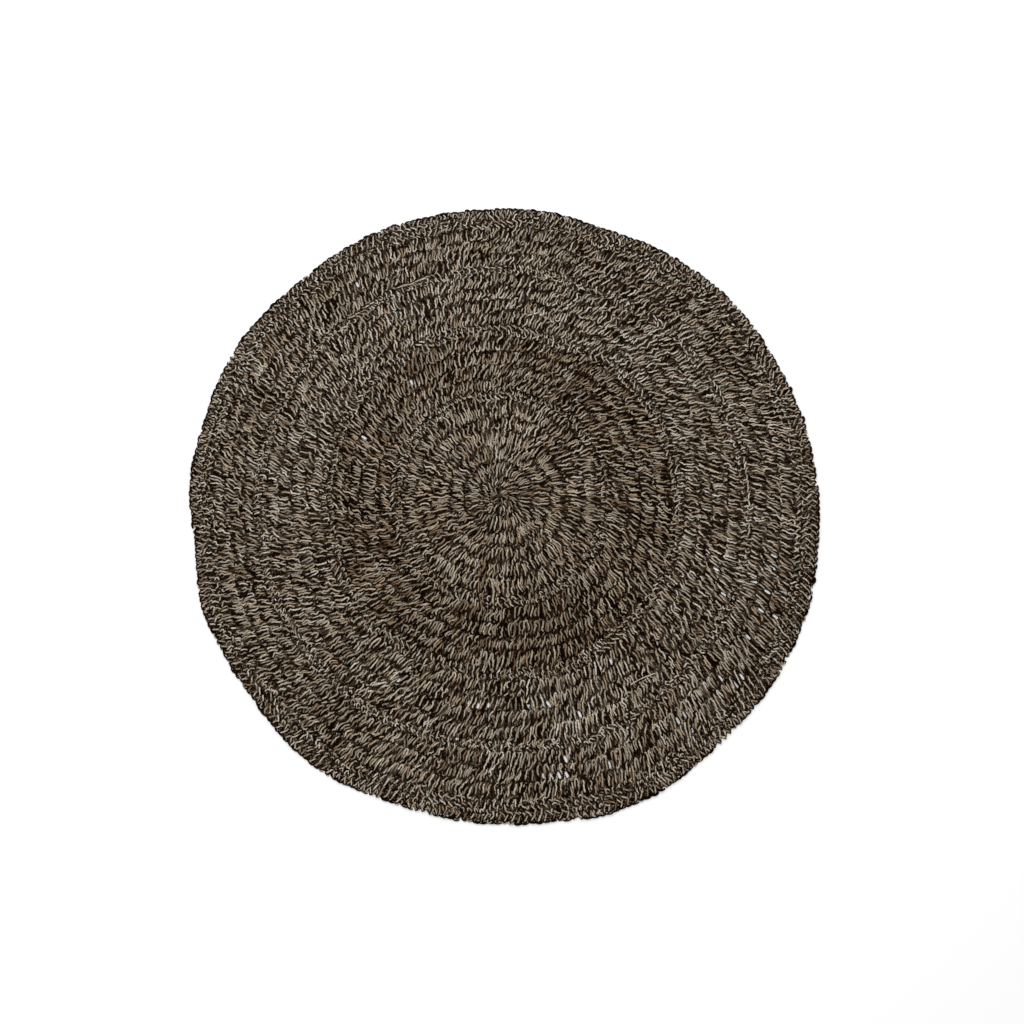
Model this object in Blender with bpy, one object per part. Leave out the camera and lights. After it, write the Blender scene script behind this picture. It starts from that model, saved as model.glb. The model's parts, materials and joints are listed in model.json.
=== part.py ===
"""Round crocheted seagrass rug, lying flat, at its real size of about 1.5 m across.

The rug is one piece of crochet, worked from the middle outwards in rounds of tall and of
short stitches, so it is one solid: a flat underside, a raised rib for each round, a hand-made
outline that is not quite a circle, and slots where the stitches stand so far apart that the
floor shows through. Metres, degrees, +Z up. Bearings run counter-clockwise from +X.
"""

import math
from typing import NamedTuple

import bmesh
import bpy
from mathutils import Vector


class RimWave(NamedTuple):
    """A stretch where the rim swells out of its circle, or draws in where out is negative."""

    bearing: float
    half_width: float
    out: float


class RoundGroup(NamedTuple):
    """Neighbouring rounds of one stitch, with the height of each round along the radius."""

    rounds: int
    stitch_height: float
    crest: float


class LooseSpot(NamedTuple):
    """See-through gaps side by side in one round, counted from the middle.

    They lean as their stitches do: a lean turns a gap's outer end counter-clockwise.
    """

    round_number: int
    bearing: float
    gaps: int
    step: float
    lean: float


# Outline: the mean circle, pushed sideways because the middle of the work lies off centre
MEAN_RADIUS = 0.749
DRIFT = 0.015
DRIFT_BEARING = 327.0
RIM_WAVES = (
    RimWave(bearing=46, half_width=14, out=0.006),
    RimWave(bearing=54, half_width=4, out=-0.005),
    RimWave(bearing=70, half_width=9, out=-0.011),
    RimWave(bearing=80, half_width=7, out=0.004),
    RimWave(bearing=117, half_width=13, out=0.009),
    RimWave(bearing=150, half_width=12, out=0.011),
    RimWave(bearing=176, half_width=7, out=0.005),
    RimWave(bearing=190, half_width=8, out=-0.010),
    RimWave(bearing=202, half_width=6, out=0.005),
    RimWave(bearing=216, half_width=10, out=-0.006),
    RimWave(bearing=236, half_width=7, out=0.006),
    RimWave(bearing=258, half_width=12, out=-0.008),
    RimWave(bearing=278, half_width=4, out=-0.002),
    RimWave(bearing=288, half_width=4, out=0.005),
    RimWave(bearing=296, half_width=9, out=0.011),
    RimWave(bearing=328, half_width=13, out=0.006),
    RimWave(bearing=344, half_width=9, out=0.004),
    RimWave(bearing=349, half_width=4, out=-0.003),
)

# Rounds, from the middle outwards
TALL_CREST = 0.012
SHORT_CREST = 0.0125
VALLEY = 0.0088
START_RADIUS = 0.012
START_CREST = 0.011
ROUND_GROUPS = (
    RoundGroup(rounds=6, stitch_height=0.038, crest=TALL_CREST),
    RoundGroup(rounds=2, stitch_height=0.014, crest=SHORT_CREST),
    RoundGroup(rounds=4, stitch_height=0.035, crest=TALL_CREST),
    RoundGroup(rounds=2, stitch_height=0.014, crest=SHORT_CREST),
    RoundGroup(rounds=4, stitch_height=0.0345, crest=TALL_CREST),
    RoundGroup(rounds=2, stitch_height=0.0105, crest=SHORT_CREST),
    RoundGroup(rounds=3, stitch_height=0.035, crest=TALL_CREST),
    RoundGroup(rounds=4, stitch_height=0.012, crest=SHORT_CREST),
)
CREST_SHARE = 0.45

# Rounded edge of the outermost round
RIM_TOP = 0.0075
RIM_BASE_INSET = 0.003

# Points round a ring: few in the middle, doubled twice on the way out
RIM_SEGMENTS = 96
HALF_SEGMENTS_INSIDE = 0.45
QUARTER_SEGMENTS_INSIDE = 0.20

# See-through gaps between the posts of tall stitches
GAP_WIDTH = 0.0062
GAP_SHARE_OF_ROUND = 0.56
GAP_MIDDLE_SHARE = 0.68
GAP_SHOULDER_SHARE = 0.55
CUT_BELOW = -0.005
CUT_ABOVE = 0.020
LOOSE_SPOTS = (
    LooseSpot(round_number=9, bearing=345, gaps=1, step=0, lean=-8),
    LooseSpot(round_number=11, bearing=127, gaps=1, step=0, lean=-12),
    LooseSpot(round_number=11, bearing=156, gaps=1, step=0, lean=-10),
    LooseSpot(round_number=15, bearing=243, gaps=1, step=0, lean=-14),
    LooseSpot(round_number=15, bearing=300, gaps=2, step=3.6, lean=-12),
    LooseSpot(round_number=16, bearing=242, gaps=1, step=0, lean=-12),
    LooseSpot(round_number=16, bearing=262, gaps=3, step=2.6, lean=-10),
    LooseSpot(round_number=16, bearing=278, gaps=2, step=5.2, lean=20),
    LooseSpot(round_number=17, bearing=290, gaps=1, step=0, lean=4),
    LooseSpot(round_number=17, bearing=341, gaps=1, step=0, lean=-12),
    LooseSpot(round_number=18, bearing=336, gaps=1, step=0, lean=-12),
    LooseSpot(round_number=21, bearing=284, gaps=1, step=0, lean=10),
    LooseSpot(round_number=21, bearing=341, gaps=1, step=0, lean=16),
    LooseSpot(round_number=22, bearing=119, gaps=2, step=4.3, lean=-12),
    LooseSpot(round_number=22, bearing=279, gaps=4, step=1.5, lean=12),
    LooseSpot(round_number=22, bearing=292, gaps=1, step=0, lean=-8),
    LooseSpot(round_number=22, bearing=308, gaps=3, step=1.8, lean=-10),
    LooseSpot(round_number=22, bearing=320, gaps=1, step=0, lean=-14),
    LooseSpot(round_number=22, bearing=330, gaps=1, step=0, lean=-16),
    LooseSpot(round_number=22, bearing=336, gaps=2, step=4.0, lean=-14),
    LooseSpot(round_number=22, bearing=345, gaps=2, step=2.5, lean=-16),
    LooseSpot(round_number=23, bearing=248, gaps=1, step=0, lean=-10),
    LooseSpot(round_number=23, bearing=297, gaps=1, step=0, lean=-12),
    LooseSpot(round_number=23, bearing=309, gaps=1, step=0, lean=-28),
    LooseSpot(round_number=23, bearing=321, gaps=2, step=1.8, lean=-20),
    LooseSpot(round_number=23, bearing=336, gaps=1, step=0, lean=-12),
    LooseSpot(round_number=23, bearing=341, gaps=1, step=0, lean=8),
)

# Natural and black strands seen together from a step away, as a linear colour
STRAND_COLOUR = (0.091, 0.071, 0.051, 1.0)
STRAND_ROUGHNESS = 0.85


def rim_radius(bearing: float) -> float:
    """Radius of the rug's edge about the middle of the work, at a bearing in degrees."""
    radius = MEAN_RADIUS + DRIFT * math.cos(math.radians(bearing - DRIFT_BEARING))
    for wave in RIM_WAVES:
        away = abs((bearing - wave.bearing + 180.0) % 360.0 - 180.0)
        reach = 2.0 * wave.half_width
        if away < reach:
            radius += wave.out * 0.5 * (1.0 + math.cos(math.pi * away / reach))
    return radius


def on_rug(share: float, bearing: float, height: float) -> Vector:
    """Point at a share of the rim's radius, from the middle of the work."""
    radius = share * rim_radius(bearing)
    angle = math.radians(bearing)
    return Vector((radius * math.cos(angle), radius * math.sin(angle), height))


def round_edges() -> list[tuple[float, float, float]]:
    """(inner share, outer share, crest height) of each round, from the middle outwards."""
    worked = START_RADIUS + sum(group.rounds * group.stitch_height for group in ROUND_GROUPS)
    edges = []
    inner = START_RADIUS
    for group in ROUND_GROUPS:
        for _ in range(group.rounds):
            outer = inner + group.stitch_height
            edges.append((inner / worked, outer / worked, group.crest))
            inner = outer
    return edges


def ring_heights() -> list[tuple[float, float]]:
    """(share of the rim's radius, height) of each ring of points on the upper side."""
    edges = round_edges()
    rings = [(edges[0][0], VALLEY)]
    for inner, outer, crest in edges:
        rings.append((inner + CREST_SHARE * (outer - inner), crest))
        rings.append((outer, VALLEY))
    rings[-1] = (1.0, RIM_TOP)
    return rings


def segments_at(share: float) -> int:
    """How many points a ring has at this share of the rim's radius."""
    if share < QUARTER_SEGMENTS_INSIDE:
        return RIM_SEGMENTS // 4
    if share < HALF_SEGMENTS_INSIDE:
        return RIM_SEGMENTS // 2
    return RIM_SEGMENTS


def add_ring(mesh: bmesh.types.BMesh, share: float, height: float) -> list[bmesh.types.BMVert]:
    """Adds a closed ring of points that follows the outline."""
    count = segments_at(share)
    return [mesh.verts.new(on_rug(share, 360.0 * i / count, height)) for i in range(count)]


def bridge(mesh: bmesh.types.BMesh, inner: list, outer: list) -> None:
    """Joins two rings with faces. The outer ring has as many points, or twice as many."""
    count = len(inner)
    for i in range(count):
        j = (i + 1) % count
        if len(outer) == count:
            mesh.faces.new((inner[i], outer[i], outer[j], inner[j]))
            continue
        first, middle, last = outer[2 * i], outer[2 * i + 1], outer[(2 * i + 2) % len(outer)]
        mesh.faces.new((inner[i], first, middle))
        mesh.faces.new((inner[i], middle, inner[j]))
        mesh.faces.new((inner[j], middle, last))


def make_rug_mesh() -> bpy.types.Mesh:
    """The whole rug as one closed solid, before its gaps are cut."""
    mesh = bmesh.new()
    middle = mesh.verts.new((0.0, 0.0, START_CREST))
    rings = [add_ring(mesh, share, height) for share, height in ring_heights()]
    first = rings[0]
    for i, point in enumerate(first):
        mesh.faces.new((middle, point, first[(i + 1) % len(first)]))
    for inner, outer in zip(rings, rings[1:]):
        bridge(mesh, inner, outer)
    base = add_ring(mesh, 1.0 - RIM_BASE_INSET / MEAN_RADIUS, 0.0)
    bridge(mesh, rings[-1], base)
    mesh.faces.new(reversed(base))
    bmesh.ops.recalc_face_normals(mesh, faces=mesh.faces[:])
    data = bpy.data.meshes.new("rug")
    mesh.to_mesh(data)
    mesh.free()
    return data


def add_gap(
    mesh: bmesh.types.BMesh, inner: float, outer: float, bearing: float, lean: float
) -> None:
    """Adds a slim six-sided post that cuts one gap through the round from inner to outer."""
    centre = on_rug(inner + GAP_MIDDLE_SHARE * (outer - inner), bearing, 0.0)
    half_length = 0.5 * GAP_SHARE_OF_ROUND * (outer - inner) * rim_radius(bearing)
    half_width = 0.5 * GAP_WIDTH
    angle = math.radians(bearing + lean)
    along = Vector((math.cos(angle), math.sin(angle), 0.0))
    across = Vector((-along.y, along.x, 0.0))
    shoulder = GAP_SHOULDER_SHARE * half_length
    outline = (
        centre + half_length * along,
        centre + shoulder * along + half_width * across,
        centre - shoulder * along + half_width * across,
        centre - half_length * along,
        centre - shoulder * along - half_width * across,
        centre + shoulder * along - half_width * across,
    )
    low = [mesh.verts.new((point.x, point.y, CUT_BELOW)) for point in outline]
    high = [mesh.verts.new((point.x, point.y, CUT_ABOVE)) for point in outline]
    mesh.faces.new(reversed(low))
    mesh.faces.new(high)
    for i in range(len(low)):
        j = (i + 1) % len(low)
        mesh.faces.new((low[i], low[j], high[j], high[i]))


def make_gaps_mesh() -> bpy.types.Mesh:
    """One post for each see-through gap, all in one mesh."""
    mesh = bmesh.new()
    edges = round_edges()
    for spot in LOOSE_SPOTS:
        inner, outer, _ = edges[spot.round_number - 1]
        for i in range(spot.gaps):
            add_gap(mesh, inner, outer, spot.bearing + i * spot.step, spot.lean)
    data = bpy.data.meshes.new("gap_cutters")
    mesh.to_mesh(data)
    mesh.free()
    return data


def make_strand_material() -> bpy.types.Material:
    """The even brown of natural and black strands worked together."""
    material = bpy.data.materials.new("seagrass")
    material.use_nodes = True
    shader = material.node_tree.nodes["Principled BSDF"]
    shader.inputs["Base Color"].default_value = STRAND_COLOUR
    shader.inputs["Roughness"].default_value = STRAND_ROUGHNESS
    shader.inputs["Metallic"].default_value = 0.0
    return material


def middle_of_work(rug: bpy.types.Mesh) -> Vector:
    """Where the middle of the work goes, so that the rug's box is centred on the origin."""
    xs = [vertex.co.x for vertex in rug.vertices]
    ys = [vertex.co.y for vertex in rug.vertices]
    return Vector((-0.5 * (min(xs) + max(xs)), -0.5 * (min(ys) + max(ys)), 0.0))


def add_object(name: str, mesh: bpy.types.Mesh, place: Vector) -> bpy.types.Object:
    """Puts a mesh in the scene at a place."""
    made = bpy.data.objects.new(name, mesh)
    bpy.context.scene.collection.objects.link(made)
    made.location = place
    return made


def main() -> None:
    """Clears the scene and models the rug."""
    for old in list(bpy.data.objects):
        bpy.data.objects.remove(old)
    rug_mesh = make_rug_mesh()
    rug_mesh.materials.append(make_strand_material())
    rug_mesh.shade_smooth()
    place = middle_of_work(rug_mesh)
    rug = add_object("rug", rug_mesh, place)
    cutters = add_object("gap_cutters", make_gaps_mesh(), place)
    cutters.hide_render = True
    cutters.display_type = "WIRE"
    cut = rug.modifiers.new("cut_gaps", "BOOLEAN")
    cut.operation = "DIFFERENCE"
    cut.object = cutters


main()
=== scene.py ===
"""Looks of a round rug crocheted from two strands of seagrass, one natural and one black.

A thin ribbed ground sheet carries the stitches. Each stitch is one or two short lengths of
yarn, and the yarn is a natural strand and a black one that twist round each other. The stitches
are laid round by round, and each band of rounds is one joined mesh.
Metres and degrees, +Z up. Bearings run counter-clockwise from +X about the middle of the work,
which lies a little off the middle of the rug.
"""

import sys
import json
import logging
import math
import random
from dataclasses import dataclass, field
from enum import Enum
from functools import cached_property
from typing import NamedTuple

import bmesh
import bpy
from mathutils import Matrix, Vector, noise

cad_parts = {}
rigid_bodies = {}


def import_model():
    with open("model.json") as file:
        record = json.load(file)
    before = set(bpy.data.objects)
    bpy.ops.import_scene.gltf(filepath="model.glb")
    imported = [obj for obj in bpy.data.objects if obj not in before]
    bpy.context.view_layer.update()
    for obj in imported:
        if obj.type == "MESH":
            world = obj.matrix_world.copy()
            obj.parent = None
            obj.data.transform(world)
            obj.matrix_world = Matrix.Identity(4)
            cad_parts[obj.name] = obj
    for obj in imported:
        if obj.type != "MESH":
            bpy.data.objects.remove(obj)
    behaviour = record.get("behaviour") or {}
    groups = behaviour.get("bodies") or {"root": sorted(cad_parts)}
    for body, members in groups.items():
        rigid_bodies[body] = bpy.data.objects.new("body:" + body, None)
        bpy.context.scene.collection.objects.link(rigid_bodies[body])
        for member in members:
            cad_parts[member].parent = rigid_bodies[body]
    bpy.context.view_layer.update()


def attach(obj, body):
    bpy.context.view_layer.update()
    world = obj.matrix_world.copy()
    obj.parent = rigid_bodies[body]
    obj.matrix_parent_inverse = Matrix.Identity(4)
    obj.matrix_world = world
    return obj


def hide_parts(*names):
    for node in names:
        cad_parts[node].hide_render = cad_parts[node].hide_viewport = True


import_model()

BODY = "root"
NODE = "rug"
UV_NAME = "OFBake"
GROUND_UV_NAME = "stitches"
MM = 0.001
FORM_BEARING = 90.0
TOP_PHASE = 0.25
HALF_TURN = 0.5
STRAND_NUMBERS = ("turn", "thick", "free", "black", "light", "twist", "phase")
WORKING_NAMES = (*STRAND_NUMBERS, "form", "size", "tone", "lift", "start", "along", "around")
Colour = tuple[float, float, float]
Shades = tuple[tuple[float, Colour], ...]

log = logging.getLogger("rug")


class Strand(Enum):
    """The two strands that are held together all through the work."""

    NATURAL = "natural"
    BLACK = "black"


class Run(Enum):
    """The lengths of yarn that show in a stitch."""

    POST = "up along the post"
    WRAP = "round behind the post"
    LOOSE = "loose on the face"


class Worked(Enum):
    """How a round is worked."""

    START = "start"
    TALL = "tall"
    SHORT = "short"
    EDGE = "edge"


class RimWave(NamedTuple):
    """A stretch where the rim swells out of its circle, or draws in where out is negative."""

    bearing: float
    half_width: float
    out: float


class RoundGroup(NamedTuple):
    """Neighbouring rounds of one stitch, with the height of each round along the radius.

    Their posts lean so many degrees, with the outer end clockwise where it is negative. The
    strands are lighter than elsewhere, or darker where light is negative.
    """

    rounds: int
    stitch_height: float
    worked: Worked
    lean: float
    light: float


class LooseSpot(NamedTuple):
    """See-through gaps side by side in one round, leaning as their stitches do."""

    round_number: int
    bearing: float
    lean: float
    gaps: int = 1
    step: float = 0.0


class Gap(NamedTuple):
    """One see-through gap between two posts, at a share of the rim's radius."""

    share: float
    bearing: float
    lean: float
    half_length: float


class Straw(NamedTuple):
    """A loose straw on the face, over one round, from one end and the way that it points."""

    round_number: int
    radius: float
    bearing: float
    length: float
    heading: float
    thickness: float


class Round(NamedTuple):
    """One round of the work, between two shares of the rim's radius."""

    number: int
    inner: float
    outer: float
    worked: Worked
    lean: float = 0.0
    light: float = 0.0


class Placed(NamedTuple):
    """One length of strand in its place on the rug."""

    place: Vector
    turn: float
    size: Vector
    form: int
    thick: float
    free: float
    black: float
    light: float
    twist: float
    phase: float


def turn_between(start: float, end: float) -> float:
    """Gives the turn from one bearing to another, between -180 and 180 degrees."""
    return (end - start + 180.0) % 360.0 - 180.0


def pointing(bearing: float) -> Vector:
    """Gives the level vector of length 1 along a bearing."""
    angle = math.radians(bearing)
    return Vector((math.cos(angle), math.sin(angle), 0.0))


def bearings_round(count: int) -> list[float]:
    """Lists evenly spaced bearings all round."""
    return [360.0 * i / count for i in range(count)]


@dataclass(frozen=True)
class RugPlan:
    """The rug's outline, its rounds and its see-through gaps, as in the solid that it dresses."""

    mean_radius: float = 0.749
    drift: float = 0.015
    drift_bearing: float = 327.0
    rim_points: int = 96
    start_radius: float = 0.012
    gap_width: float = 0.0062
    gap_share_of_round: float = 0.56
    gap_middle_share: float = 0.68
    gap_shoulder_share: float = 0.55
    waves: tuple[RimWave, ...] = tuple(RimWave(*values) for values in (
        (46, 14, 0.006), (54, 4, -0.005), (70, 9, -0.011), (80, 7, 0.004), (117, 13, 0.009),
        (150, 12, 0.011), (176, 7, 0.005), (190, 8, -0.010), (202, 6, 0.005), (216, 10, -0.006),
        (236, 7, 0.006), (258, 12, -0.008), (278, 4, -0.002), (288, 4, 0.005), (296, 9, 0.011),
        (328, 13, 0.006), (344, 9, 0.004), (349, 4, -0.003),
    ))
    groups: tuple[RoundGroup, ...] = (
        RoundGroup(6, 0.038, Worked.TALL, lean=10.0, light=-0.11),
        RoundGroup(2, 0.014, Worked.SHORT, lean=-1.0, light=-0.12),
        RoundGroup(4, 0.035, Worked.TALL, lean=-4.0, light=-0.22),
        RoundGroup(2, 0.014, Worked.SHORT, lean=9.0, light=0.03),
        RoundGroup(4, 0.0345, Worked.TALL, lean=-4.0, light=0.03),
        RoundGroup(2, 0.0105, Worked.SHORT, lean=28.0, light=0.10),
        RoundGroup(3, 0.035, Worked.TALL, lean=-5.0, light=-0.04),
        RoundGroup(3, 0.012, Worked.SHORT, lean=-1.0, light=0.02),
        RoundGroup(1, 0.012, Worked.EDGE, lean=-14.0, light=-0.14),
    )
    spots: tuple[LooseSpot, ...] = tuple(LooseSpot(*values) for values in (
        (9, 345, -8), (11, 127, -12), (11, 156, -10), (15, 243, -14), (15, 300, -12, 2, 3.6),
        (16, 242, -12), (16, 262, -10, 3, 2.6), (16, 278, 20, 2, 5.2), (17, 290, 4), (17, 341, -12),
        (18, 336, -12), (21, 284, 10), (21, 341, 16), (22, 119, -12, 2, 4.3), (22, 279, 12, 4, 1.5),
        (22, 292, -8), (22, 308, -10, 3, 1.8), (22, 320, -14), (22, 330, -16), (22, 336, -14, 2, 4.0),
        (22, 345, -16, 2, 2.5), (23, 248, -10), (23, 297, -12), (23, 309, -28), (23, 321, -20, 2, 1.8),
        (23, 336, -12), (23, 341, 8),
    ))
    straws: tuple[Straw, ...] = (
        Straw(17, radius=0.541, bearing=304.3, length=0.063, heading=25.9, thickness=0.0022),
    )

    def rim_radius(self, bearing: float) -> float:
        """Gives the radius of the rug's edge about the middle of the work.

        Args:
            bearing: Bearing in degrees.

        Returns:
            The radius in metres.
        """
        radius = self.mean_radius
        radius += self.drift * math.cos(math.radians(bearing - self.drift_bearing))
        for wave in self.waves:
            away = abs(turn_between(wave.bearing, bearing))
            reach = 2.0 * wave.half_width
            if away < reach:
                radius += wave.out * 0.5 * (1.0 + math.cos(math.pi * away / reach))
        return radius

    @cached_property
    def middle(self) -> Vector:
        """Gives the middle of the work.

        Returns:
            The point that puts the centre of the rug's box on the origin.
        """
        bearings = bearings_round(self.rim_points)
        xs = [self.rim_radius(b) * math.cos(math.radians(b)) for b in bearings]
        ys = [self.rim_radius(b) * math.sin(math.radians(b)) for b in bearings]
        return Vector((-0.5 * (min(xs) + max(xs)), -0.5 * (min(ys) + max(ys)), 0.0))

    def place(self, share: float, bearing: float, height: float = 0.0) -> Vector:
        """Gives a point on the rug.

        Args:
            share: Share of the rim's radius, from the middle of the work.
            bearing: Bearing in degrees.
            height: Height above the floor in metres.

        Returns:
            The point, in the rug's frame.
        """
        radius = share * self.rim_radius(bearing)
        angle = math.radians(bearing)
        return self.middle + Vector((radius * math.cos(angle), radius * math.sin(angle), height))

    def worked_radius(self) -> float:
        """Gives the radius that the rounds add up to before the rim's waves."""
        return self.start_radius + sum(g.rounds * g.stitch_height for g in self.groups)

    def rounds(self) -> list[Round]:
        """Lists the rounds from the middle outwards.

        Returns:
            The rounds, with the start as number 0.
        """
        worked = self.worked_radius()
        inner = self.start_radius
        made = [Round(0, 0.0, inner / worked, Worked.START)]
        for group in self.groups:
            for _ in range(group.rounds):
                outer = inner + group.stitch_height
                edges = inner / worked, outer / worked
                made.append(Round(len(made), *edges, group.worked, group.lean, group.light))
                inner = outer
        return made

    def gaps_in(self, work: Round) -> list[Gap]:
        """Lists the see-through gaps of one round.

        Args:
            work: The round.

        Returns:
            Its gaps.
        """
        made = []
        height = work.outer - work.inner
        share = work.inner + self.gap_middle_share * height
        for spot in self.spots:
            if spot.round_number == work.number:
                for i in range(spot.gaps):
                    bearing = spot.bearing + i * spot.step
                    half_length = 0.5 * self.gap_share_of_round * height * self.rim_radius(bearing)
                    made.append(Gap(share, bearing, spot.lean, half_length))
        return made


PAIR = (Strand.NATURAL, Strand.BLACK)
ONLY_NATURAL = (Strand.NATURAL,)
ONLY_BLACK = (Strand.BLACK,)


class YarnForm(NamedTuple):
    """The way one length of yarn takes through a stitch.

    Each point of the route gives how far it lies round, in stitch widths and counter-clockwise,
    how far out, as a share of the round's height, and its height above the floor in millimetres.
    The strands turn round each other so many times on the way, the other way round where turns
    is negative. The natural one is on top at the crest, a share of the way. Steps are those of
    the natural strand; a black one has fewer.
    """

    worked: Worked
    run: Run
    strands: tuple[Strand, ...]
    weight: float
    steps: int
    turns: float
    crest: float
    route: tuple[tuple[float, float, float], ...]


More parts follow.
